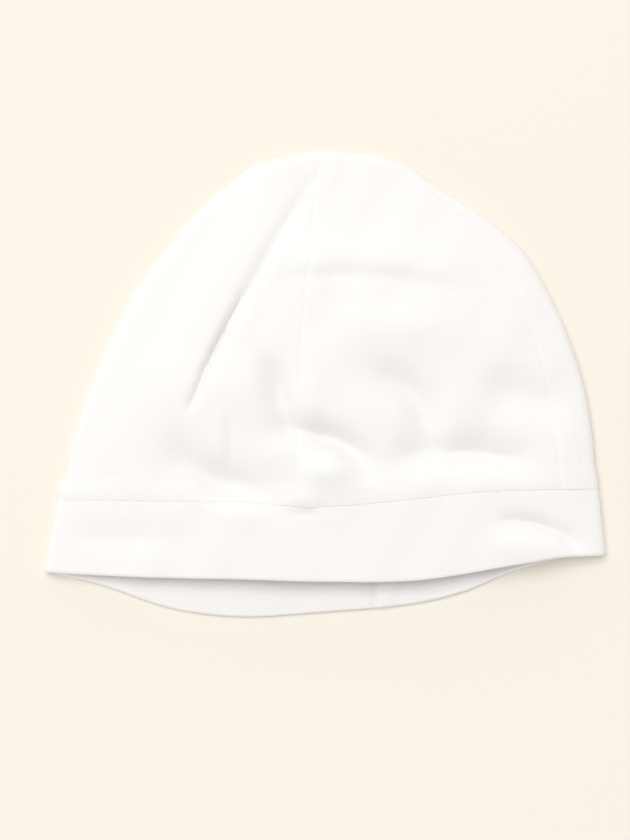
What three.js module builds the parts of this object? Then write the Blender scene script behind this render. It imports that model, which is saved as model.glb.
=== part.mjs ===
// A newborn's nightcap of white cotton jersey, laid down flat with its back layer underneath.
// Four gores are sewn together into the crown, and a folded strip of the same cloth is the band.
// Lengths are millimetres and angles are radians. Seen from above, +X is the right of the cap and
// +Y runs from the mouth to the top of the crown. +Z is up, off the surface that the cap lies on.

import * as THREE from "three";

// Driving dimensions of the cap as it lies flat.
const crownWidth = 160; // across the crown, near the seam with the band
const crownHeight = 105; // from that seam to the top of the crown
const bandHeight = 23.5; // from the seam to the hem
const hemWidth = 170; // across the hem
const bandStep = 0.1; // how far the band stands out past the crown at each side
const crownWall = 1; // one layer of jersey
const bandWall = 2; // the strip is folded double at the hem
const sewnGap = 0.3; // between two pieces along a seam

// How the cap lies.
const foldRadius = 2.4; // of the bend at each side and at the top, on the outside of the cloth
const layerLift = 9; // how far the upper layer bellies up over the two bends
const backDrop = 12; // how far the back layer's hem comes out past the level line
const turn = 11.5; // how far the cap is turned on itself, to the left on the upper layer
const bellyRoundness = 1.3; // 1 is a belly as round as a circle, and more is flatter at the sides
const creaseFade = 0.45; // how far in from the outline the folds reach their height, as a share

// The crown's outline from above, which steps out over the sewn edges just above the band. rise is a
// share of crownHeight, and left and right are shares of half of crownWidth. So is shift, by which
// the middle of the upper layer lies out of line, to the right.
const outline = [
  { rise: 0.0, left: 1.008, right: 1.03, shift: 0.03 },
  { rise: 0.03, left: 1.002, right: 1.025, shift: 0.026 },
  { rise: 0.06, left: 0.98, right: 1.018, shift: 0.022 },
  { rise: 0.15, left: 0.957, right: 1.008, shift: 0.012 },
  { rise: 0.3, left: 0.894, right: 0.976, shift: -0.006 },
  { rise: 0.45, left: 0.814, right: 0.916, shift: -0.016 },
  { rise: 0.6, left: 0.715, right: 0.828, shift: -0.02 },
  { rise: 0.72, left: 0.593, right: 0.729, shift: -0.026 },
  { rise: 0.82, left: 0.486, right: 0.572, shift: -0.012 },
  { rise: 0.9, left: 0.37, right: 0.408, shift: 0.0 },
  { rise: 0.96, left: 0.257, right: 0.295, shift: 0.0 },
  { rise: 1.0, left: 0.0, right: 0.0, shift: 0.0 },
];

// How the band's two edges run across the cap. across is a share of the half width, and the other
// columns are the shares of backDrop by which an edge lies lower than level: the seam and the hem
// of the upper layer, and then of the back layer.
const bandEdges = [
  { across: -1.0, seam: 0.0, hem: -0.13, backSeam: 0.0, backHem: -0.13 },
  { across: -0.8, seam: 0.0, hem: -0.06, backSeam: 0.3, backHem: 0.21 },
  { across: -0.55, seam: 0.03, hem: 0.0, backSeam: 0.84, backHem: 0.79 },
  { across: -0.3, seam: 0.1, hem: 0.03, backSeam: 1.0, backHem: 1.0 },
  { across: 0.0, seam: 0.12, hem: 0.09, backSeam: 0.9, backHem: 0.88 },
  { across: 0.3, seam: -0.05, hem: 0.07, backSeam: 0.74, backHem: 0.69 },
  { across: 0.5, seam: -0.2, hem: -0.1, backSeam: 0.5, backHem: 0.37 },
  { across: 0.68, seam: -0.25, hem: -0.33, backSeam: 0.1, backHem: -0.15 },
  { across: 0.85, seam: -0.27, hem: -0.52, backSeam: -0.18, backHem: -0.48 },
  { across: 1.0, seam: -0.27, hem: -0.55, backSeam: -0.27, backHem: -0.55 },
];

// How much of layerLift the upper layer has along its middle line. along is a share of crownHeight
// from the seam up, and the band lies below the seam.
const belly = [
  { along: -0.3, lift: 0.5 },
  { along: 0.0, lift: 0.68 },
  { along: 0.3, lift: 1.0 },
  { along: 0.65, lift: 0.95 },
  { along: 1.0, lift: 0.4 },
];

// The folds and dents of the upper layer. Each runs along a curve from one point by way of another
// to a third: x is a share of half of crownWidth, y is a share of crownHeight from the seam up, and
// width and rise are shares of layerLift. A rise below 0 is a dent.
const folds = [
  { name: "long crease", x: [-0.02, -0.25, -0.52], y: [0.95, 0.68, 0.24], width: 0.28, rise: -0.17 },
  { name: "ridge by it", x: [-0.09, -0.34, -0.6], y: [0.94, 0.65, 0.24], width: 0.85, rise: 0.12 },
  { name: "top crease", x: [-0.2, 0.12, 0.5], y: [0.625, 0.68, 0.6], width: 0.32, rise: -0.13 },
  { name: "ridge over it", x: [-0.18, 0.14, 0.52], y: [0.67, 0.72, 0.65], width: 0.85, rise: 0.26 },
  { name: "upright dent", x: [-0.22, -0.17, -0.12], y: [0.41, 0.32, 0.185], width: 0.48, rise: -0.44 },
  { name: "middle dent", x: [-0.22, 0.07, 0.2], y: [0.2, 0.22, 0.065], width: 0.48, rise: -0.5 },
  { name: "bump over the band", x: [-0.09, 0.02, 0.12], y: [0.075, 0.08, 0.065], width: 0.6, rise: 0.28 },
  { name: "upper right dent", x: [0.15, 0.41, 0.39], y: [0.365, 0.355, 0.145], width: 0.68, rise: -0.58 },
  { name: "upper right swell", x: [0.08, 0.32, 0.54], y: [0.49, 0.53, 0.47], width: 0.8, rise: 0.26 },
  { name: "lower right dent", x: [0.25, 0.51, 0.78], y: [0.115, 0.16, 0.11], width: 0.55, rise: -0.44 },
  { name: "right hollow", x: [0.6, 0.79, 0.9], y: [0.33, 0.28, 0.27], width: 0.8, rise: -0.36 },
  { name: "lower left dent", x: [-0.58, -0.44, -0.18], y: [0.17, -0.005, 0.03], width: 0.8, rise: -0.6 },
  { name: "lower left swell", x: [-0.56, -0.4, -0.2], y: [0.33, 0.34, 0.32], width: 0.9, rise: 0.18 },
  { name: "ridge under it", x: [-0.56, -0.42, -0.2], y: [0.1, -0.06, -0.03], width: 0.45, rise: 0.2 },
  { name: "band crease", x: [0.65, 0.89, 0.97], y: [-0.055, -0.05, -0.155], width: 0.3, rise: -0.22 },
  { name: "lifted hem", x: [0.6, 0.84, 1.0], y: [-0.13, -0.12, -0.2], width: 0.55, rise: 0.24 },
  { name: "band hollow", x: [-0.96, -0.74, -0.5], y: [-0.105, -0.115, -0.105], width: 0.5, rise: -0.14 },
];

// How closely the walls follow their curves. A step is the angle from one corner to the next.
const frontStep = THREE.MathUtils.degToRad(3.6); // across the upper layer
const bendStep = THREE.MathUtils.degToRad(4.5); // round the two side bends
const backStep = THREE.MathUtils.degToRad(12); // across the back layer
const bendReach = THREE.MathUtils.degToRad(20); // from the outline to where a bend runs out
const crownRows = 24; // from the seam to the tip
const bandRows = 5; // from the hem to the seam
const hemSteps = 4; // round the folded hem
const foldSteps = 32; // along a fold's curve
const tipHalfWidth = 1.2; // the gores stop where the crown is this narrow

const crownHalf = crownWidth / 2;
const quarterTurn = Math.PI / 2;

// The seams of the crown, as longitudes: 0 is the middle of the upper layer, a quarter turn is the
// right side and a half turn is the middle of the back layer.
const frontSeam = -Math.asin(turn / crownHalf);
const rightSeam = Math.asin(1 - turn / crownHalf);
const backSeam = Math.PI + frontSeam;
const leftSeam = rightSeam - Math.PI;
const gores = [
  { name: "panel_front_left", start: leftSeam, end: frontSeam },
  { name: "panel_front_right", start: frontSeam, end: rightSeam },
  { name: "panel_back_right", start: rightSeam, end: backSeam },
  { name: "panel_back_left", start: backSeam, end: leftSeam + 2 * Math.PI },
];

// A smooth line through the rows of a table. places says where the rows lie, and values is what one
// of their columns holds.
function lineThrough(places, values) {
  const last = places.length - 1;
  const slopes = values.map((value, i) => {
    const before = Math.max(i - 1, 0);
    const after = Math.min(i + 1, last);
    return (values[after] - values[before]) / (places[after] - places[before]);
  });
  return (place) => {
    const held = THREE.MathUtils.clamp(place, places[0], places[last]);
    const i = Math.max(places.findIndex((end) => held <= end), 1) - 1;
    const span = places[i + 1] - places[i];
    const t = (held - places[i]) / span;
    const straight = values[i] + (values[i + 1] - values[i]) * t * t * (3 - 2 * t);
    return straight + span * t * (1 - t) * (slopes[i] * (1 - t) - slopes[i + 1] * t);
  };
}

const column = (table, name) => table.map((row) => row[name]);
const outlineLatitudes = column(outline, "rise").map(Math.asin);
const leftShare = lineThrough(outlineLatitudes, column(outline, "left"));
const rightShare = lineThrough(outlineLatitudes, column(outline, "right"));
const shiftShare = lineThrough(outlineLatitudes, column(outline, "shift"));
const edgeDrop = (name) => lineThrough(column(bandEdges, "across"), column(bandEdges, name));
const frontDrop = { seam: edgeDrop("seam"), hem: edgeDrop("hem") };
const backLayerDrop = { seam: edgeDrop("backSeam"), hem: edgeDrop("backHem") };
const bellyShare = lineThrough(column(belly, "along"), column(belly, "lift"));

// Each fold as a close row of small round rises along its curve, which are lower at its two ends.
const foldLines = folds.map((fold) => {
  const [start, via, end] = fold.x.map(
    (x, i) => new THREE.Vector2(x * crownHalf, fold.y[i] * crownHeight),
  );
  const curve = new THREE.QuadraticBezierCurve(start, via, end);
  const reach = fold.width * layerLift;
  const spacing = curve.getLength() / foldSteps;
  const places = curve.getSpacedPoints(foldSteps);
  const rises = places.map((place, i) => {
    const fading = Math.sqrt(Math.abs(Math.sin((Math.PI * i) / foldSteps)));
    return (fold.rise * layerLift * fading * spacing) / (reach * Math.sqrt(Math.PI));
  });
  return { reach, places, rises };
});

// The height that one fold adds at a place on the upper layer.
function foldHeight({ reach, places, rises }, place) {
  return places.reduce(
    (sum, from, i) => sum + rises[i] * Math.exp(-place.distanceToSquared(from) / reach ** 2),
    0,
  );
}

// The height of the middle of a wall. depth is 1 at the middle of the upper layer, 0 at the outline
// and -1 at the middle of the back layer.
function layerHeight(x, y, depth, wall) {
  const radius = foldRadius - wall / 2;
  const bend = Math.sqrt(crownHalf / radius) * Math.abs(depth);
  const round = radius * Math.sin(Math.min(bend, quarterTurn));
  if (depth <= 0) return foldRadius - round;
  const lift = layerLift * bellyShare(y / crownHeight) * depth ** bellyRoundness;
  const place = new THREE.Vector2(x, y);
  const creased = foldLines.reduce((sum, fold) => sum + foldHeight(fold, place), 0);
  const fading = THREE.MathUtils.smoothstep(depth, 0, creaseFade);
  return foldRadius + round + lift + creased * fading;
}

// A point of the crown, at the middle of its wall. latitude is 0 at the seam with the band and a
// quarter turn at the top.
function crownPoint(longitude, latitude) {
  const left = leftShare(latitude) * crownHalf;
  const right = rightShare(latitude) * crownHalf;
  const half = (left + right) / 2;
  const side = Math.sin(longitude);
  const facing = Math.cos(longitude);
  const rise = Math.sin(latitude);
  const drop = facing > 0 ? frontDrop : backLayerDrop;
  const shift = shiftShare(latitude) * crownHalf * Math.max(facing, 0) ** 2;
  const x = (right - left) / 2 + half * side + shift;
  const y = crownHeight * rise - backDrop * drop.seam(side) * (1 - rise);
  return new THREE.Vector3(x, y, layerHeight(x, y, (half / crownHalf) * facing, crownWall));
}

// A point of the band, at the middle of its wall. rise is 0 near the hem and 1 at the seam.
function bandPoint(longitude, rise) {
  const half = (share) => {
    const seam = share * crownHalf + (crownWall - bandWall) / 2 + bandStep;
    return THREE.MathUtils.lerp((hemWidth - bandWall) / 2, seam, rise);
  };
  const left = half(leftShare(0));
  const right = half(rightShare(0));
  const side = Math.sin(longitude);
  const facing = Math.cos(longitude);
  const drop = facing > 0 ? frontDrop : backLayerDrop;
  const shift = shiftShare(0) * crownHalf * rise * Math.max(facing, 0) ** 2;
  const x = (right - left) / 2 + ((left + right) / 2) * side + shift;
  const level = THREE.MathUtils.lerp(bandWall / 2 - bandHeight, -sewnGap, rise);
  const y = level - backDrop * THREE.MathUtils.lerp(drop.hem(side), drop.seam(side), rise);
  return new THREE.Vector3(x, y, layerHeight(x, y, facing, bandWall));
}

// The directions along and straight out of a surface, at one of its points.
function directions(pointAt, longitude, rise) {
  const step = 1e-3;
  const around = pointAt(longitude + step, rise).sub(pointAt(longitude - step, rise));
  const up = pointAt(longitude, rise + step).sub(pointAt(longitude, rise - step));
  const out = around.clone().cross(up).normalize();
  return { speed: around.length() / (2 * step), up: up.normalize(), out };
}

// The same, where a wall ends square against the wall across a seam.
function squareDirections(pointAt, longitude, rise) {
  const found = directions(pointAt, longitude, rise);
  found.out.setY(0).normalize();
  return found;
}

// Longitudes from one to another, closer together where the cloth bends.
function longitudesBetween(start, end) {
  const found = [start];
  while (found.at(-1) < end) {
    const fromOutline = Math.abs(Math.asin(Math.cos(found.at(-1))));
    const level = Math.cos(found.at(-1)) > 0 ? frontStep : backStep;
    found.push(found.at(-1) + (fromOutline < bendReach ? bendStep : level));
  }
  const stretch = (end - start) / (found.at(-1) - start);
  return found.map((longitude) => start + (longitude - start) * stretch);
}

// The latitudes of the crown's rows, closer together at the seam and at the tip.
function crownLatitudes() {
  const narrowest = tipHalfWidth / crownHalf;
  const closeness = 0.3;
  return Array.from({ length: crownRows + 1 }, (unused, i) => {
    const share = i / crownRows;
    const eased = share - (closeness * Math.sin(2 * Math.PI * share)) / (2 * Math.PI);
    return eased * (quarterTurn - narrowest);
  });
}

// One closed body through a row of closed loops of points. The ends of a strip are closed by faces
// from the first half of a loop to the second, and a ring joins its last loop to its first.
function bodyThrough(loops, isRing) {
  const size = loops[0].length;
  const corners = [];
  const quad = (a, b, c, d) => corners.push(a, b, c, a, c, d);
  const spans = isRing ? loops.length : loops.length - 1;
  for (let i = 0; i < spans; i++) {
    const here = i * size;
    const there = ((i + 1) % loops.length) * size;
    for (let j = 0; j < size; j++) {
      const next = (j + 1) % size;
      quad(here + j, there + j, there + next, here + next);
    }
  }
  const end = (loops.length - 1) * size;
  for (let j = 0; !isRing && j < size / 2 - 1; j++) {
    const across = size - 1 - j;
    quad(j, j + 1, across - 1, across);
    quad(end + j, end + across, end + across - 1, end + j + 1);
  }
  const geometry = new THREE.BufferGeometry().setFromPoints(loops.flat());
  geometry.setIndex(corners);
  geometry.computeVertexNormals();
  return geometry;
}

// One gore of the crown, from one seam to the next.
function gore({ start, end }) {
  const latitudes = crownLatitudes();
  const loops = longitudesBetween(start, end).map((longitude) => {
    const share = (longitude - start) / (end - start);
    const outer = [];
    const inner = [];
    latitudes.forEach((latitude, row) => {
      const inset = (seam) => sewnGap / 2 / directions(crownPoint, seam, latitude).speed;
      const place = THREE.MathUtils.lerp(start + inset(start), end - inset(end), share);
      const directionsAt = row === 0 ? squareDirections : directions;
      const half = directionsAt(crownPoint, place, latitude).out.multiplyScalar(crownWall / 2);
      const middle = crownPoint(place, latitude);
      outer.push(middle.clone().add(half));
      inner.unshift(middle.clone().sub(half));
    });
    return [...outer, ...inner];
  });
  return bodyThrough(loops, false);
}

// The band: a ring of cloth with a round folded hem.
function band() {
  const longitudes = gores.flatMap(({ start, end }) => longitudesBetween(start, end).slice(1));
  const loops = longitudes.map((longitude) => {
    const outer = [];
    const inner = [];
    for (let row = 0; row <= bandRows; row++) {
      const rise = row / bandRows;
      const directionsAt = row === bandRows ? squareDirections : directions;
      const half = directionsAt(bandPoint, longitude, rise).out.multiplyScalar(bandWall / 2);
      const middle = bandPoint(longitude, rise);
      outer.push(middle.clone().add(half));
      inner.unshift(middle.clone().sub(half));
    }
    return [...outer, ...inner, ...hemRound(longitude)];
  });
  return bodyThrough(loops, true);
}

// The points round the hem at one longitude, from inside the cap to outside.
function hemRound(longitude) {
  const { up, out } = directions(bandPoint, longitude, 0);
  const middle = bandPoint(longitude, 0);
  return Array.from({ length: hemSteps - 1 }, (unused, i) => {
    const angle = Math.PI * (1 - (i + 1) / hemSteps);
    return middle
      .clone()
      .addScaledVector(out, (bandWall / 2) * Math.cos(angle))
      .addScaledVector(up, (-bandWall / 2) * Math.sin(angle));
  });
}

const jersey = () => new THREE.MeshStandardMaterial({ color: 0xfbfaf7, roughness: 0.95, metalness: 0 });
const bandJersey = () => new THREE.MeshStandardMaterial({ color: 0xf9f8f4, roughness: 0.95, metalness: 0 });

function piece(name, geometry, material) {
  const mesh = new THREE.Mesh(geometry, material);
  mesh.name = name;
  return mesh;
}

const cap = new THREE.Group();
gores.forEach((between) => cap.add(piece(between.name, gore(between), jersey())));
cap.add(piece("band", band(), bandJersey()));

// The origin is under the middle of the cap, on the surface that it lies on.
const box = new THREE.Box3().setFromObject(cap);
const middle = box.getCenter(new THREE.Vector3());
cap.position.set(-middle.x, -middle.y, -box.min.z);

export default cap;
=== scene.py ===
"""A newborn's nightcap of white cotton jersey, lying flat on a pale floor and seen from above.

The cloth is worked out in millimetres, with the origin on the cap's middle line at the seam
between crown and band, and becomes metres in the frame when a mesh is made.
"""

import math

import bpy
import numpy as np
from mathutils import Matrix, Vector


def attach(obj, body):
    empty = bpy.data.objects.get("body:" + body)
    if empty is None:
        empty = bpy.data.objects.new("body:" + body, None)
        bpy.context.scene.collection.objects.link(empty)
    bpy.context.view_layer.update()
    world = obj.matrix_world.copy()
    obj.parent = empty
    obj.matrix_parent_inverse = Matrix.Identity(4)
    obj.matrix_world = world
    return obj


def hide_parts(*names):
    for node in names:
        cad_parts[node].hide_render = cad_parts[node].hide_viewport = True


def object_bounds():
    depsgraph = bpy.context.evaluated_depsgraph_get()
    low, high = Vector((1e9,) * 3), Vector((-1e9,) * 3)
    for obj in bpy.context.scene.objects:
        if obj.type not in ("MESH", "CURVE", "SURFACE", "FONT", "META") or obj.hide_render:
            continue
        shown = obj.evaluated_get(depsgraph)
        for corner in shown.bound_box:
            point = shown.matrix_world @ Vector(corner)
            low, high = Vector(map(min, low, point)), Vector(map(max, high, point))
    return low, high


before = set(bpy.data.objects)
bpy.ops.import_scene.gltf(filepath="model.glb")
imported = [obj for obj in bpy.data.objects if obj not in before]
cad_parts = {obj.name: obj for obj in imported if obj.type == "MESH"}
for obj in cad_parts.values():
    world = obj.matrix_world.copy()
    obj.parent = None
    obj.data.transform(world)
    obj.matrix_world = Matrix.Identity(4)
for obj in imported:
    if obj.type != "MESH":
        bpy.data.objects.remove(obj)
cad_low, cad_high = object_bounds()

# The cap's sizes in millimetres, the same as the frame's solids have.
CROWN_WIDTH = 160.0
CROWN_HEIGHT = 105.0
BAND_HEIGHT = 23.5
HEM_WIDTH = 170.0
BAND_STEP = 0.1
CROWN_WALL = 1.0
BAND_WALL = 2.0
FOLD_RADIUS = 2.4  # on the outside of the cloth
LAYER_LIFT = 9.0
BACK_DROP = 12.0
TURN = 11.5

CROWN_HALF = CROWN_WIDTH / 2
QUARTER_TURN = math.pi / 2
METRE = 1000.0

# Where the cloth's own origin lies in the frame, in millimetres.
ORIGIN_X = METRE * cad_low.x + HEM_WIDTH / 2
ORIGIN_Y = METRE * cad_high.y - CROWN_HEIGHT - CROWN_WALL / 2

# The crown's outline: the share of the height, the left and right shares of the half width, and
# the share of it by which the middle of the upper layer lies out of line.
OUTLINE = (
    # rise, left, right, shift
    (0.0, 1.008, 1.03, 0.03),
    (0.03, 1.002, 1.025, 0.026),
    (0.06, 0.98, 1.018, 0.022),
    (0.15, 0.957, 1.008, 0.012),
    (0.3, 0.894, 0.976, -0.006),
    (0.45, 0.814, 0.916, -0.016),
    (0.6, 0.715, 0.828, -0.02),
    (0.72, 0.593, 0.729, -0.026),
    (0.82, 0.486, 0.572, -0.012),
    (0.9, 0.37, 0.408, 0.0),
    (0.96, 0.257, 0.295, 0.0),
    (1.0, 0.0, 0.0, 0.0),
)

# How far the band's edges lie below level, as shares of BACK_DROP, across the half width.
BAND_EDGES = (
    # across, seam, hem, back seam, back hem
    (-1.0, 0.0, -0.13, 0.0, -0.13),
    (-0.8, 0.0, -0.06, 0.3, 0.21),
    (-0.55, 0.03, 0.0, 0.84, 0.79),
    (-0.3, 0.1, 0.03, 1.0, 1.0),
    (0.0, 0.12, 0.09, 0.9, 0.88),
    (0.3, -0.05, 0.07, 0.74, 0.69),
    (0.5, -0.2, -0.1, 0.5, 0.37),
    (0.68, -0.25, -0.33, 0.1, -0.15),
    (0.85, -0.27, -0.52, -0.18, -0.48),
    (1.0, -0.27, -0.55, -0.27, -0.55),
)

# The belly of the upper layer: the share of the height, and the share of LAYER_LIFT.
BELLY = ((-0.3, 0.5), (0.0, 0.68), (0.3, 1.0), (0.65, 0.95), (1.0, 0.4))
BELLY_ROUNDNESS = 1.3  # the power of depth by which the belly falls to the sides
CREASE_FADE = 0.45  # the depth from which the folds have their full height

# The folds: three points of a curve, as shares of the half width and of the height, then the
# width and the rise as shares of LAYER_LIFT.
FOLDS = {
    "long crease": ((-0.02, -0.25, -0.52), (0.95, 0.68, 0.24), 0.28, -0.17),
    "ridge by it": ((-0.09, -0.34, -0.6), (0.94, 0.65, 0.24), 0.85, 0.12),
    "top crease": ((-0.2, 0.12, 0.5), (0.625, 0.68, 0.6), 0.32, -0.13),
    "ridge over it": ((-0.18, 0.14, 0.52), (0.67, 0.72, 0.65), 0.85, 0.26),
    "upright dent": ((-0.22, -0.17, -0.12), (0.41, 0.32, 0.185), 0.48, -0.44),
    "middle dent": ((-0.22, 0.07, 0.2), (0.2, 0.22, 0.065), 0.48, -0.5),
    "bump over the band": ((-0.09, 0.02, 0.12), (0.075, 0.08, 0.065), 0.6, 0.28),
    "upper right dent": ((0.15, 0.41, 0.39), (0.365, 0.355, 0.145), 0.68, -0.58),
    "upper right swell": ((0.08, 0.32, 0.54), (0.49, 0.53, 0.47), 0.8, 0.26),
    "lower right dent": ((0.25, 0.51, 0.78), (0.115, 0.16, 0.11), 0.55, -0.44),
    "right hollow": ((0.6, 0.79, 0.9), (0.33, 0.28, 0.27), 0.8, -0.36),
    "lower left dent": ((-0.58, -0.44, -0.18), (0.17, -0.005, 0.03), 0.8, -0.6),
    "lower left swell": ((-0.56, -0.4, -0.2), (0.33, 0.34, 0.32), 0.9, 0.18),
    "ridge under it": ((-0.56, -0.42, -0.2), (0.1, -0.06, -0.03), 0.45, 0.2),
    "band crease": ((0.65, 0.89, 0.97), (-0.055, -0.05, -0.155), 0.3, -0.22),
    "lifted hem": ((0.6, 0.84, 1.0), (-0.13, -0.12, -0.2), 0.55, 0.24),
    "band hollow": ((-0.96, -0.74, -0.5), (-0.105, -0.115, -0.105), 0.5, -0.14),
}

# Finer creases, which only the cloth shows, in the same form.
CREASES = {
    "sharp part of the long crease": ((-0.3, -0.41, -0.51), (0.6, 0.46, 0.255), 0.13, -0.26),
    "upright crease": ((-0.36, -0.355, -0.35), (0.25, 0.17, 0.1), 0.2, -0.11),
    "under the middle dent": ((-0.13, 0.06, 0.17), (0.185, 0.2, 0.08), 0.62, -0.16),
    "edge over the bump": ((-0.06, 0.03, 0.12), (0.19, 0.18, 0.145), 0.28, -0.11),
    "foot of the lower left dent": ((-0.57, -0.43, -0.19), (0.18, 0.0, 0.03), 0.55, -0.13),
    "side of the upright dent": ((-0.22, -0.17, -0.12), (0.39, 0.3, 0.2), 0.5, -0.1),
    "foot of the upper right dent": ((0.19, 0.41, 0.38), (0.355, 0.335, 0.17), 0.5, -0.1),
    "foot of the right hollow": ((0.6, 0.78, 0.88), (0.34, 0.29, 0.27), 0.75, -0.14),
    "top of the bump": ((-0.05, 0.02, 0.1), (0.09, 0.1, 0.1), 0.42, 0.17),
    "breadth of the lower right dent": ((0.28, 0.5, 0.74), (0.16, 0.19, 0.13), 0.85, -0.17),
    "end of the lower right dent": ((0.44, 0.58, 0.75), (0.135, 0.145, 0.115), 0.2, -0.08),
    "end of the band crease": ((0.66, 0.87, 0.95), (-0.06, -0.06, -0.15), 0.24, -0.14),
    "below the front seam": ((-0.14, -0.02, 0.06), (-0.02, -0.06, -0.15), 0.35, -0.08),
    "bulk where the seams cross": ((-0.15, -0.08, -0.01), (0.004, 0.004, 0.008), 0.24, 0.08),
    "edge of that bulk": ((-0.14, -0.08, -0.02), (-0.034, -0.038, -0.034), 0.18, -0.09),
}
FOLD_STEPS = 32

# The seams of the crown, as longitudes: 0 is the middle of the upper layer, a quarter turn is the
# right side and a half turn is the middle of the back layer.
FRONT_SEAM = -math.asin(TURN / CROWN_HALF)
RIGHT_SEAM = math.asin(1 - TURN / CROWN_HALF)
BACK_SEAM = math.pi + FRONT_SEAM
LEFT_SEAM = RIGHT_SEAM - math.pi

# The sewing, in millimetres, with the groove's and the allowance's shares at each seam.
SEAM_DEPTH = 0.16  # of the groove where two pieces meet
CROWN_GROOVE = 0.6  # of the groove, on the crown's side of the band's seam
BAND_GROOVE = 0.7  # of the groove, on the band's side of it
CLOSING_GROOVE = (0.8, 2.6)  # of the groove at the band's closing seam, outside and inside
CLOSING_RISE = (0.51, 3.4)  # of the allowance beside it, outside and inside
INNER_RELIEF = 0.8  # of a gore's relief, on its inner face
SEWN_INSIDE = 0.6  # of the band's sewn relief, on its inner face
SEAM_WIDTH = 0.6  # over which the groove fades
ALLOWANCE_RISE = 0.18  # how much the overlocked edges underneath lift the cloth
ALLOWANCE_WIDTH = 6.3
PUCKER_RISE = 0.05  # of the small waves along a seam
PUCKER_LENGTH = 5.5  # from one wave to the next
PUCKER_REACH = 5.0  # from the seam to where they fade
BAND_SEAM_X = 14.3  # the band's closing seam, on the back layer
EDGE_REACH = 2.0  # over which a gore's outside turns to meet the thicker band
SEAM_GAP = 0.04  # between two pieces, at the bottom of the groove
STITCH_PITCH = 2.7  # along the seam between crown and band
STITCH_LENGTH = 1.5  # of one thread across the seam
STITCH_RADIUS = 0.13
STITCH_SINK = 0.05  # of a thread's middle, below the cloth's surface
STITCH_SLANT = 0.35  # sideways, for each 1 across the seam
STITCH_SIDES = 6
GORE_TIP = 0.35  # the distance from the top at which a gore ends
GORE_EASING = 0.3  # how much closer a gore's rows lie at its two ends
PLY_GAP = 0.12  # between the two plies of the folded band
FLOOR_GAP = 0.02  # between the cloth and the floor under it
RIM_ANGLE = math.radians(55)  # a wall's cut edges keep their corners

# The surfaces: how many times finer than a metre their unevenness is, and how strong.
CLOUD_SCALE = 42.0  # of the cloth's faint clouds
FUZZ_SCALE = 2600.0  # of its fibres
KNIT_SHADE_SHARE = 0.25  # the knit's share of the cloth's change of tone, which paints shade into the hollows between its wales
FLOOR_SCALE = 3.0
FLOOR_SHADE = 0.985
FLOOR_SIDE = 4.0  # metres, from its middle

# The camera and the photograph's frame.
PIXEL = 0.302  # millimetres across one pixel, at the cap
IMAGE_WIDTH, IMAGE_HEIGHT = 630, 840
PHOTO_MIDDLE_X = 324.5  # of the cap's middle line
PHOTO_SEAM_Y = 500.0  # of the level of the seam
CAMERA_HEIGHT = 0.85
MEASURED_HEIGHT = 0.005  # above the floor, where PIXEL holds
SENSOR = 36.0

# The light: how bright the studio is low down and overhead, and the large soft light.
HORIZON = 1.15
ZENITH = 0.27
KEY_PLACE = (-0.75, 1.2, 3.7)
KEY_SIZE = 3.0
KEY_POWER = 103.0


def column(table, index):
    return np.array([row[index] for row in table])


def line_through(places, values):
    """A smooth line through the rows of a table."""
    slopes = np.empty_like(values)
    slopes[1:-1] = (values[2:] - values[:-2]) / (places[2:] - places[:-2])
    slopes[0] = (values[1] - values[0]) / (places[1] - places[0])
    slopes[-1] = (values[-1] - values[-2]) / (places[-1] - places[-2])

    def at(place):
        held = np.clip(place, places[0], places[-1])
        i = np.clip(np.searchsorted(places, held) - 1, 0, len(places) - 2)
        span = places[i + 1] - places[i]
        t = (held - places[i]) / span
        straight = values[i] + (values[i + 1] - values[i]) * t * t * (3 - 2 * t)
        return straight + span * t * (1 - t) * (slopes[i] * (1 - t) - slopes[i + 1] * t)

    return at


outline_latitudes = np.arcsin(column(OUTLINE, 0))
left_share = line_through(outline_latitudes, column(OUTLINE, 1))
right_share = line_through(outline_latitudes, column(OUTLINE, 2))
shift_share = line_through(outline_latitudes, column(OUTLINE, 3))
band_across = column(BAND_EDGES, 0)
seam_drop, hem_drop, back_seam_drop, back_hem_drop = (
    line_through(band_across, column(BAND_EDGES, index)) for index in (1, 2, 3, 4)
)
belly_share = line_through(column(BELLY, 0), column(BELLY, 1))


def smoothstep(value, low, high):
    t = np.clip((value - low) / (high - low), 0, 1)
    return t * t * (3 - 2 * t)


def fold_height(fold, x, y):
    """The height that one fold adds at each place of the upper layer: a close row of small round
    rises along its curve, which are lower at its two ends."""
    xs, ys, width, rise = fold
    fine = np.linspace(0, 1, 10 * FOLD_STEPS + 1)
    curve_x, curve_y = (
        (v[0] * (1 - fine) ** 2 + 2 * v[1] * fine * (1 - fine) + v[2] * fine * fine) * size
        for v, size in ((xs, CROWN_HALF), (ys, CROWN_HEIGHT))
    )
    run = np.append(0, np.cumsum(np.hypot(np.diff(curve_x), np.diff(curve_y))))
    even = np.linspace(0, 1, FOLD_STEPS + 1)
    from_x, from_y = (np.interp(even * run[-1], run, curve) for curve in (curve_x, curve_y))
    reach = width * LAYER_LIFT
    spacing = run[-1] / FOLD_STEPS
    fading = np.sqrt(np.abs(np.sin(math.pi * even)))
    rises = rise * LAYER_LIFT * fading * spacing / (reach * math.sqrt(math.pi))
    height = np.zeros(x.shape)
    for start_x, start_y, small in zip(from_x, from_y, rises):
        height += small * np.exp(-((x - start_x) ** 2 + (y - start_y) ** 2) / reach**2)
    return height


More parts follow.
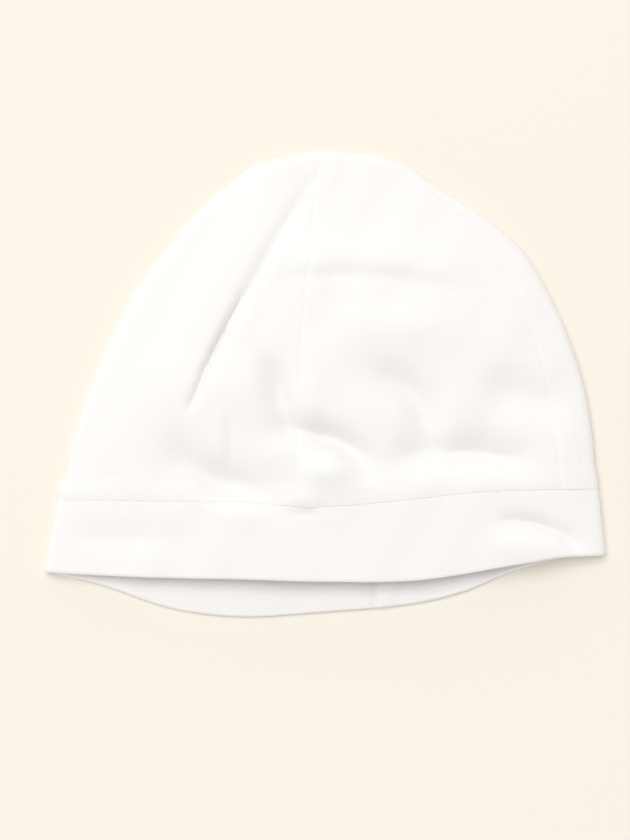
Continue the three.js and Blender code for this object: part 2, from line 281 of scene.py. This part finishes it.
def layer_height(x, y, depth, wall):
    """The height of the middle of a wall. depth is 1 at the middle of the upper layer, 0 at the
    outline and -1 at the middle of the back layer."""
    radius = FOLD_RADIUS - wall / 2
    bend = math.sqrt(CROWN_HALF / radius) * np.abs(depth)
    rounded = radius * np.sin(np.minimum(bend, QUARTER_TURN))
    facing = np.maximum(depth, 0)
    lift = LAYER_LIFT * belly_share(y / CROWN_HEIGHT) * facing**BELLY_ROUNDNESS
    creased = sum(fold_height(fold, x, y) for fold in (*FOLDS.values(), *CREASES.values()))
    upper = rounded + lift + creased * smoothstep(facing, 0, CREASE_FADE)
    return FOLD_RADIUS + np.where(depth > 0, upper, -rounded)


def crown_point(longitude, latitude):
    """A point of the crown, at the middle of its wall."""
    left = left_share(latitude) * CROWN_HALF
    right = right_share(latitude) * CROWN_HALF
    half = (left + right) / 2
    side, facing, rise = np.sin(longitude), np.cos(longitude), np.sin(latitude)
    drop = np.where(facing > 0, seam_drop(side), back_seam_drop(side))
    shift = shift_share(latitude) * CROWN_HALF * np.maximum(facing, 0) ** 2
    x = (right - left) / 2 + half * side + shift
    y = CROWN_HEIGHT * rise - BACK_DROP * drop * (1 - rise)
    return np.stack([x, y, layer_height(x, y, half / CROWN_HALF * facing, CROWN_WALL)], -1)


def band_point(longitude, rise):
    """A point of the band, at the middle of its wall. rise is 0 near the hem, 1 at the seam."""
    low = (HEM_WIDTH - BAND_WALL) / 2
    step = (CROWN_WALL - BAND_WALL) / 2 + BAND_STEP
    left = low + (left_share(0.0) * CROWN_HALF + step - low) * rise
    right = low + (right_share(0.0) * CROWN_HALF + step - low) * rise
    side, facing = np.sin(longitude), np.cos(longitude)
    hem = np.where(facing > 0, hem_drop(side), back_hem_drop(side))
    seam = np.where(facing > 0, seam_drop(side), back_seam_drop(side))
    shift = shift_share(0.0) * CROWN_HALF * rise * np.maximum(facing, 0) ** 2
    x = (right - left) / 2 + (left + right) / 2 * side + shift
    level = (BAND_WALL / 2 - BAND_HEIGHT) * (1 - rise) - SEAM_GAP * rise
    y = level - BACK_DROP * (hem * (1 - rise) + seam * rise)
    return np.stack([x, y, layer_height(x, y, facing, BAND_WALL)], -1)


def outward(point_at, longitude, rise):
    """The direction straight out of a surface."""
    step = 1e-3
    around = point_at(longitude + step, rise) - point_at(longitude - step, rise)
    up = point_at(longitude, rise + step) - point_at(longitude, rise - step)
    out = np.cross(around, up)
    return out / np.linalg.norm(out, axis=-1, keepdims=True)


def lengths_along(points, axis):
    """How far each point is from the first one of its row, along the cloth."""
    steps = np.linalg.norm(np.diff(points, axis=axis), axis=-1)
    padding = [(1, 0) if axis == place else (0, 0) for place in (0, 1)]
    return np.pad(np.cumsum(steps, axis=axis), padding)


def groove(distance):
    """The dip where a piece turns in to a seam that is this far away."""
    return -SEAM_DEPTH * np.exp(-((distance / SEAM_WIDTH) ** 2))


def allowance(distance, along):
    """The soft rise of the cloth over the overlocked edges underneath."""
    width = ALLOWANCE_WIDTH + 0.35 * np.sin(along / 4.1) + 0.2 * np.sin(along / 1.7 + 1)
    rise = smoothstep(distance, 0.2, 1.8) * (1 - smoothstep(distance, width - 1.2, width + 1.2))
    return ALLOWANCE_RISE * rise


def puckers(distance, along, phase):
    """Small waves across a seam, where the thread gathers the cloth a little."""
    wandering = along + 1.6 * np.sin(along / 11.0 + phase) + 0.9 * np.sin(along / 6.3 + 2 * phase)
    wave = np.sin(2 * math.pi * wandering / PUCKER_LENGTH + phase)
    swell = 0.6 + 0.4 * np.sin(along / 17.0 + 3 * phase)
    return PUCKER_RISE * wave * swell * np.exp(-distance / PUCKER_REACH)


def slack(x, y, phase):
    """The slight unevenness of cloth that lies loose."""
    waves = (
        # length across, length along, size, phase
        (37.0, 61.0, 0.22, 0.3),
        (-23.0, 41.0, 0.16, 1.9),
        (17.0, -29.0, 0.1, 4.2),
        (13.0, 19.0, 0.06, 2.7),
    )
    return sum(
        size * np.sin(2 * math.pi * (x / across + y / along) + offset + phase)
        for across, along, size, offset in waves
    )


def grid_faces(rows, columns, closed):
    """Corner numbers of the faces of a grid, as rows of four. A closed grid joins its last
    column to its first."""
    across = columns if closed else columns - 1
    i, j = np.meshgrid(np.arange(rows - 1), np.arange(across), indexing="ij")
    here, there = i * columns + j, i * columns + (j + 1) % columns
    return np.stack([here, there, there + columns, here + columns], -1).reshape(-1, 4)


def cloth_mesh(name, points, faces, uv, material):
    """One object from points in millimetres, with a UV map in millimetres of cloth."""
    placed = (points + np.array([ORIGIN_X, ORIGIN_Y, 0.0])) / METRE
    mesh = bpy.data.meshes.new(name)
    mesh.from_pydata(placed.tolist(), [], [list(face) for face in faces])
    corners = np.empty(len(mesh.loops), np.int64)
    mesh.loops.foreach_get("vertex_index", corners)
    layer = mesh.uv_layers.new(name="Cloth")
    layer.data.foreach_set("uv", uv[corners].astype(np.float32).ravel())
    mesh.polygons.foreach_set("use_smooth", np.ones(len(mesh.polygons), bool))
    mesh.materials.append(material)
    mesh.validate()
    mesh.set_sharp_from_angle(angle=RIM_ANGLE)
    piece = bpy.data.objects.new(name, mesh)
    bpy.context.scene.collection.objects.link(piece)
    return piece


def gore(name, start, end, columns, rows, allowance_at_start, phase, material):
    """One gore of the crown, with its seams turned in at both sides and at the band."""
    narrowest = GORE_TIP / CROWN_HALF
    share = np.linspace(0, 1, rows)
    eased = share - GORE_EASING * np.sin(2 * math.pi * share) / (2 * math.pi)
    latitude, longitude = np.meshgrid(
        eased * (QUARTER_TURN - narrowest), np.linspace(start, end, columns), indexing="ij"
    )
    middle = crown_point(longitude, latitude)
    across = lengths_along(middle, 1)
    up = lengths_along(middle, 0)
    from_start, from_end = across, across[:, -1:] - across
    fading = smoothstep(across[:, -1:], 2.0, 14.0)
    relief = fading * (
        groove(from_start)
        + groove(from_end)
        + puckers(from_start, up, 0.7 + phase)
        + puckers(from_end, up, 2.9 + phase)
    )
    if allowance_at_start:
        relief = relief + fading * allowance(from_start, up)
    at_band = CROWN_GROOVE * groove(up) + allowance(up, across)
    relief = relief + at_band + puckers(up, across, 1.3 + phase)
    loose = smoothstep(np.cos(longitude), 0.15, 0.5)
    relief = relief + slack(middle[..., 0], middle[..., 1], 0.0) * loose
    out = outward(crown_point, longitude, latitude)
    outer = middle + out * (CROWN_WALL / 2 + relief)[..., None]
    outer[..., 1] += out[..., 1] * (BAND_WALL - CROWN_WALL) / 2 * np.exp(-up / EDGE_REACH)
    inner = middle + out * (relief * INNER_RELIEF - CROWN_WALL / 2)[..., None]
    outer[..., 2] = np.maximum(outer[..., 2], FLOOR_GAP)
    count = rows * columns
    points = np.concatenate([outer.reshape(-1, 3), inner.reshape(-1, 3)])
    face = grid_faces(rows, columns, False)
    rim = np.concatenate([
        np.arange(columns),
        np.arange(1, rows) * columns + columns - 1,
        (rows - 1) * columns + np.arange(columns - 2, -1, -1),
        np.arange(rows - 2, 0, -1) * columns,
    ])
    after = np.roll(rim, -1)
    edge = np.stack([rim, rim + count, after + count, after], -1)
    faces = np.concatenate([face, face[:, ::-1] + count, edge])
    uv = np.stack([across - across[:, -1:] / 2, up], -1).reshape(-1, 2)
    return cloth_mesh(name, points, faces, np.concatenate([uv, uv]), material)


def band_ring(name, columns, rows, hem_steps, material):
    """The band: a strip folded at the hem, so both its plies run round the cap in one ring."""
    longitude = np.linspace(-math.pi, math.pi, columns, endpoint=False)
    rise, around = np.meshgrid(np.linspace(0, 1, rows), longitude, indexing="ij")
    middle = band_point(around, rise)
    out = outward(band_point, around, rise)
    along = lengths_along(middle, 1)
    from_seam = (1 - rise) * BAND_HEIGHT
    seam_longitude = math.pi - math.asin(BAND_SEAM_X / CROWN_HALF)
    seam_column = int(np.argmin(np.abs(longitude - seam_longitude)))
    past_closing = along - along[:, seam_column : seam_column + 1]
    closing = groove(np.abs(past_closing))
    pressed = allowance(np.maximum(-past_closing, 0), from_seam)
    sewn = BAND_GROOVE * groove(from_seam) + puckers(from_seam, along, 0.4)
    uneven = slack(middle[..., 0], middle[..., 1], 0.0) * smoothstep(np.cos(around), 0.15, 0.5)
    outside = CLOSING_GROOVE[0] * closing + CLOSING_RISE[0] * pressed + sewn
    inside = CLOSING_GROOVE[1] * closing + CLOSING_RISE[1] * pressed + SEWN_INSIDE * sewn
    faces_out = (
        BAND_WALL / 2 + outside,
        np.full(rise.shape, PLY_GAP / 2),
        np.full(rise.shape, -PLY_GAP / 2),
        -BAND_WALL / 2 - inside,
    )
    outer, outer_back, inner_back, inner = (
        middle + out * (uneven + away)[..., None] for away in faces_out
    )
    outer[..., 2] = np.maximum(outer[..., 2], FLOOR_GAP)
    down = middle[0] - middle[1]
    down = down / np.linalg.norm(down, axis=-1, keepdims=True)
    round_hem = half_turn(inner[0], outer[0], down * BAND_WALL / 2, hem_steps)
    fold = half_turn(outer_back[0], inner_back[0], down * PLY_GAP / 2, 4)
    ring = np.concatenate([inner[::-1], round_hem, outer, outer_back[::-1], fold, inner_back])
    count = len(ring)
    faces = grid_faces(count + 1, columns, True) % (count * columns)
    cloth_up = lengths_along(ring, 0)
    cloth_across = np.broadcast_to(along[:1], cloth_up.shape)
    uv = np.stack([cloth_across, cloth_up], -1).reshape(-1, 2)
    return cloth_mesh(name, ring.reshape(-1, 3), faces, uv, material)


def seam_stitches(name, material):
    """The threads that show across the seam between crown and band, all round the cap."""
    fine = np.linspace(-math.pi, math.pi, 2000)
    run = lengths_along(band_point(fine, 1.0)[None], 1)[0]
    count = int(run[-1] / STITCH_PITCH)
    longitude = np.interp((np.arange(count) + 0.5) * run[-1] / count, run, fine)
    middle = band_point(longitude, 1.0)
    out = outward(band_point, longitude, 1.0)
    uneven = slack(middle[:, 0], middle[:, 1], 0.0) * smoothstep(np.cos(longitude), 0.15, 0.5)
    middle = middle + out * (BAND_WALL / 2 - STITCH_SINK + uneven)[:, None]
    along = band_point(longitude + 1e-3, 1.0) - band_point(longitude - 1e-3, 1.0)
    along = along / np.linalg.norm(along, axis=-1, keepdims=True)
    across = np.cross(out, along) + STITCH_SLANT * along
    across = across / np.linalg.norm(across, axis=-1, keepdims=True)
    place = np.array([-1.0, -0.8, -0.35, 0.35, 0.8, 1.0])
    round_the_thread = np.arange(STITCH_SIDES) * 2 * math.pi / STITCH_SIDES
    thickness = STITCH_RADIUS * np.sqrt(1.02 - place**4)
    centre = (
        middle[:, None]
        + across[:, None] * (place * STITCH_LENGTH / 2)[None, :, None]
        - out[:, None] * (2 * STITCH_RADIUS * place**4)[None, :, None]
    )
    ring = (
        along[:, None, None] * np.cos(round_the_thread)[None, None, :, None]
        + out[:, None, None] * np.sin(round_the_thread)[None, None, :, None]
    )
    points = centre[:, :, None] + ring * thickness[None, :, None, None]
    one = grid_faces(len(place), STITCH_SIDES, True)
    size = len(place) * STITCH_SIDES
    sides = (one[None] + np.arange(count)[:, None, None] * size).reshape(-1, 4)
    first = np.arange(count)[:, None] * size
    ring_corners = np.arange(STITCH_SIDES)
    ends = np.concatenate([first + ring_corners[::-1], first + size - STITCH_SIDES + ring_corners])
    faces = sides.tolist() + ends.tolist()
    flat = points.reshape(-1, 3)
    flat[:, 2] = np.maximum(flat[:, 2], FLOOR_GAP)
    return cloth_mesh(name, flat, faces, flat[:, :2], material)


def half_turn(start, end, bulge, steps):
    """Rows of points from one edge round to another, which bulge out by so much."""
    centre, half = (start + end) / 2, (start - end) / 2
    angles = np.linspace(0, math.pi, steps + 1)[1:-1]
    return np.stack([centre + half * math.cos(a) + bulge * math.sin(a) for a in angles])


def node(tree, kind, values=None, **settings):
    """A shader node with its settings, and with numbers or links for its inputs."""
    made = tree.nodes.new(kind)
    for key, value in settings.items():
        setattr(made, key, value)
    for key, value in (values or {}).items():
        if isinstance(value, bpy.types.NodeSocket):
            tree.links.new(value, made.inputs[key])
        else:
            made.inputs[key].default_value = value
    return made


def math_node(tree, operation, first, second=0.0):
    return node(tree, "ShaderNodeMath", {0: first, 1: second}, operation=operation).outputs[0]


def knit_height(tree, wale, course):
    """The height of plain jersey: columns of small V shapes, from the UV map in millimetres."""
    uv = node(tree, "ShaderNodeUVMap", uv_map="Cloth").outputs[0]
    parts = node(tree, "ShaderNodeSeparateXYZ", {0: uv}).outputs
    wales = math_node(tree, "FRACT", math_node(tree, "DIVIDE", parts[0], wale))
    off_middle = math_node(tree, "ABSOLUTE", math_node(tree, "SUBTRACT", wales, 0.5))
    from_middle = math_node(tree, "MULTIPLY", off_middle, 2.0)
    rounded = math_node(tree, "SUBTRACT", 1.0, math_node(tree, "POWER", from_middle, 2.0))
    courses = math_node(tree, "DIVIDE", parts[1], course)
    slanted = math_node(tree, "SUBTRACT", courses, math_node(tree, "MULTIPLY", from_middle, 0.5))
    loops = math_node(tree, "SINE", math_node(tree, "MULTIPLY", slanted, 2 * math.pi))
    raised = math_node(tree, "ADD", math_node(tree, "MULTIPLY", loops, 0.3), 0.7)
    return math_node(tree, "MULTIPLY", rounded, raised)


def noise(tree, place, scale, **values):
    """Soft noise, so many times finer than a metre."""
    inputs = {"Vector": place, "Scale": scale, **values}
    return node(tree, "ShaderNodeTexNoise", inputs).outputs[0]


def blend(tree, share, first, second):
    """A colour between two others."""
    inputs = {"Factor": share, "A": first, "B": second}
    return node(tree, "ShaderNodeMix", inputs, data_type="RGBA").outputs["Result"]


def jersey(name, colour, cloud_tone_and_knit_shade, wale=0.78, course=0.58):
    """White cotton jersey: a matt knit with a faint bloom of fibres and slight unevenness, and
    shade painted into the hollows of the knit.
    """
    material = bpy.data.materials.new(name)
    material.use_nodes = True
    tree = material.node_tree
    tree.nodes.clear()
    place = node(tree, "ShaderNodeTexCoord").outputs["Object"]
    knit = knit_height(tree, wale, course)
    cloudy = noise(tree, place, CLOUD_SCALE, Detail=3.0)
    fuzz = noise(tree, place, FUZZ_SCALE, Detail=2.0)
    # The colour goes towards the darker one at random in faint clouds, and as painted shade in the
    # hollows between the knit's wales.
    clouds = math_node(tree, "MULTIPLY", cloudy, 1 - KNIT_SHADE_SHARE)
    tone = math_node(tree, "ADD", clouds, math_node(tree, "MULTIPLY", knit, KNIT_SHADE_SHARE))
    height = math_node(tree, "ADD", knit, math_node(tree, "MULTIPLY", fuzz, 0.5))
    bump = node(
        tree, "ShaderNodeBump", {"Strength": 0.2, "Distance": 0.0001, "Height": height}
    ).outputs[0]
    rough = node(
        tree, "ShaderNodeMapRange", {"Value": fuzz, "To Min": 0.82, "To Max": 0.98}
    ).outputs[0]
    shader = node(
        tree,
        "ShaderNodeBsdfPrincipled",
        {
            "Base Color": blend(tree, tone, cloud_tone_and_knit_shade, colour),
            "Roughness": rough,
            "Normal": bump,
            "Specular IOR Level": 0.2,
            "Sheen Weight": 0.15,
            "Sheen Roughness": 0.5,
        },
    )
    output = node(tree, "ShaderNodeOutputMaterial", {"Surface": shader.outputs[0]})
    output.is_active_output = True
    return material


def plain(name, colour, roughness):
    """The floor's surface: matt, with the faintest change of tone."""
    material = bpy.data.materials.new(name)
    material.use_nodes = True
    tree = material.node_tree
    tree.nodes.clear()
    place = node(tree, "ShaderNodeTexCoord").outputs["Object"]
    darker = tuple(FLOOR_SHADE * c for c in colour[:3]) + (1.0,)
    mixed = blend(tree, noise(tree, place, FLOOR_SCALE), darker, colour)
    shader = node(
        tree,
        "ShaderNodeBsdfPrincipled",
        {"Base Color": mixed, "Roughness": roughness, "Specular IOR Level": 0.1},
    )
    node(tree, "ShaderNodeOutputMaterial", {"Surface": shader.outputs[0]})
    return material


def make_camera():
    """Straight above, framed as the photograph is."""
    data = bpy.data.cameras.new("camera")
    data.sensor_width = SENSOR
    distance = CAMERA_HEIGHT - MEASURED_HEIGHT
    data.lens = SENSOR * distance * METRE / (PIXEL * IMAGE_HEIGHT)
    camera = bpy.data.objects.new("camera", data)
    x = ORIGIN_X + (IMAGE_WIDTH / 2 - PHOTO_MIDDLE_X) * PIXEL
    y = ORIGIN_Y - (IMAGE_HEIGHT / 2 - PHOTO_SEAM_Y) * PIXEL
    camera.location = (x / METRE, y / METRE, CAMERA_HEIGHT)
    bpy.context.scene.collection.objects.link(camera)
    bpy.context.scene.camera = camera


def make_floor():
    side = FLOOR_SIDE
    mesh = bpy.data.meshes.new("floor")
    corners = [(-side, -side, 0), (side, -side, 0), (side, side, 0), (-side, side, 0)]
    mesh.from_pydata(corners, [], [(0, 1, 2, 3)])
    mesh.materials.append(plain("floor", (0.885, 0.835, 0.745, 1.0), 0.8))
    floor = bpy.data.objects.new("floor", mesh)
    bpy.context.scene.collection.objects.link(floor)


def area_light(name, place, aim, size, power):
    data = bpy.data.lights.new(name, "AREA")
    data.shape = "DISK"
    data.size = size
    data.energy = power
    light = bpy.data.objects.new(name, data)
    light.location = place
    direction = bpy.data.objects.new(name + "_aim", None)
    direction.location = aim
    bpy.context.scene.collection.objects.link(light)
    bpy.context.scene.collection.objects.link(direction)
    look = light.constraints.new("TRACK_TO")
    look.target = direction
    look.track_axis = "TRACK_NEGATIVE_Z"
    look.up_axis = "UP_Y"


def make_light():
    """A white studio, brightest low down all round, and one large soft light high over the cap,
    beyond its crown and to its left."""
    world = bpy.data.worlds.new("studio")
    bpy.context.scene.world = world
    world.use_nodes = True
    tree = world.node_tree
    direction = node(tree, "ShaderNodeTexCoord").outputs["Generated"]
    height = node(tree, "ShaderNodeSeparateXYZ", {0: direction}).outputs[2]
    strength = node(
        tree, "ShaderNodeMapRange", {"Value": height, "To Min": HORIZON, "To Max": ZENITH}
    ).outputs[0]
    tree.links.new(strength, tree.nodes["Background"].inputs["Strength"])
    tree.nodes["Background"].inputs["Color"].default_value = (1.0, 1.0, 1.0, 1.0)
    area_light("key", KEY_PLACE, (0, 0, 0), KEY_SIZE, KEY_POWER)
    bpy.context.scene.view_settings.view_transform = "Standard"


make_camera()
make_floor()
make_light()

crown_cloth = jersey("jersey", (0.892, 0.872, 0.854, 1.0), (0.872, 0.85, 0.83, 1.0))
band_cloth = jersey("band_jersey", (0.892, 0.873, 0.854, 1.0), (0.872, 0.851, 0.83, 1.0))

gores = (
    # node, start, end, columns, rows, whether its edges are pressed to the start, phase
    ("panel_front_left", LEFT_SEAM, FRONT_SEAM, 200, 150, False, 0.0),
    ("panel_front_right", FRONT_SEAM, RIGHT_SEAM, 120, 150, True, 1.0),
    ("panel_back_right", RIGHT_SEAM, BACK_SEAM, 130, 110, True, 2.0),
    ("panel_back_left", BACK_SEAM, LEFT_SEAM + 2 * math.pi, 80, 110, True, 3.0),
)
for node_name, start, end, columns, rows, pressed, phase in gores:
    piece = gore("cloth_" + node_name, start, end, columns, rows, pressed, phase, crown_cloth)
    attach(piece, "root")
    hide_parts(node_name)

band = band_ring("cloth_band", 560, 30, 8, band_cloth)
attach(band, "root")
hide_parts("band")

stitches = seam_stitches("seam_stitches", band_cloth)
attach(stitches, "root")
